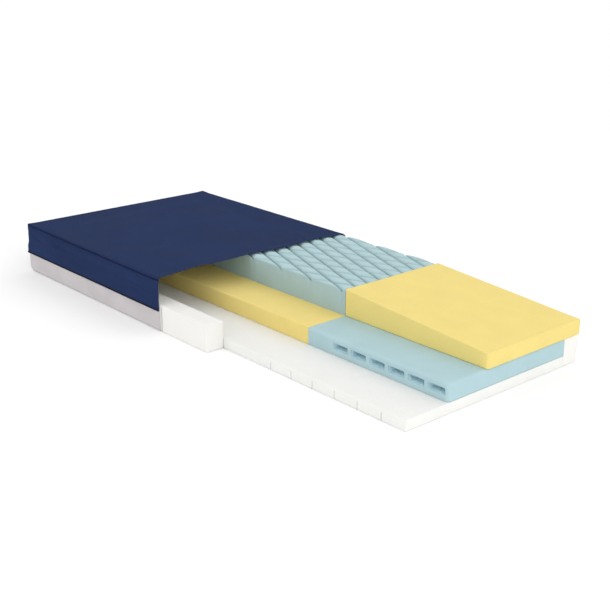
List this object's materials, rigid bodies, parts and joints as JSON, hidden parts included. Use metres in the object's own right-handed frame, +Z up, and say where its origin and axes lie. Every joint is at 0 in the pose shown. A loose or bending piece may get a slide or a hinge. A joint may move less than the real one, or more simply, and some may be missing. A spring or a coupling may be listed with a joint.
{
  "type": "memory foam mattress",
  "caption": "Pressure-care foam mattress as a display cutaway: stepped foam layers, side bolsters and channels, with a zipped two-tone cover on the head half.",
  "frame": {"origin": "centre of the footprint, on the surface that the mattress lies on", "axes": "+X from the head end to the foot end, +Y from the cut-back near side to the far side, +Z up"},
  "size_m": [2.142, 0.92, 0.208],
  "materials": {
    "white_foam": "matte",
    "bolster_foam": "matte",
    "yellow_foam": "matte",
    "blue_foam": "matte",
    "barrier_knit": "matte",
    "taupe_fabric": "satin",
    "navy_fabric": "satin",
    "seam_fabric": "satin",
    "hem_fabric": "satin",
    "zip_tape": "matte",
    "zip_coil": "satin",
    "zip_metal": "satin"
  },
  "bodies": {
    "mattress": {"base_foam": "white_foam", "bolster_near": "bolster_foam", "bolster_far": "bolster_foam", "mid_torso_foam": "yellow_foam", "mid_heel_foam": "blue_foam", "top_torso_foam": "blue_foam", "top_heel_foam": "yellow_foam", "barrier_sock": "barrier_knit", "cover_base_tub": "taupe_fabric", "cover_top_panel": "navy_fabric", "cover_border_near": "navy_fabric", "cover_border_head": "navy_fabric", "cover_border_far": "navy_fabric", "top_seam_welt": "seam_fabric", "hem_binding": "hem_fabric", "zip_tape_lower": "zip_tape", "zip_tape_upper": "zip_tape", "zip_coil_lower": "zip_coil", "zip_coil_upper": "zip_coil"},
    "slider": {"zip_slider": "zip_metal"},
    "pull_tab": {"zip_pull_tab": "zip_metal"}
  },
  "joints": [
    {"name": "zip_slide", "type": "slide", "parent": "mattress", "child": "slider", "axis": [0, 1, 0], "range_m": [0, 0.72]},
    {"name": "pull_tab_swing", "type": "hinge", "parent": "slider", "child": "pull_tab", "pos_m": [-1.0662, -0.36, 0.095], "axis": [1, 0, 0], "range_deg": [-75, 75]}
  ]
}
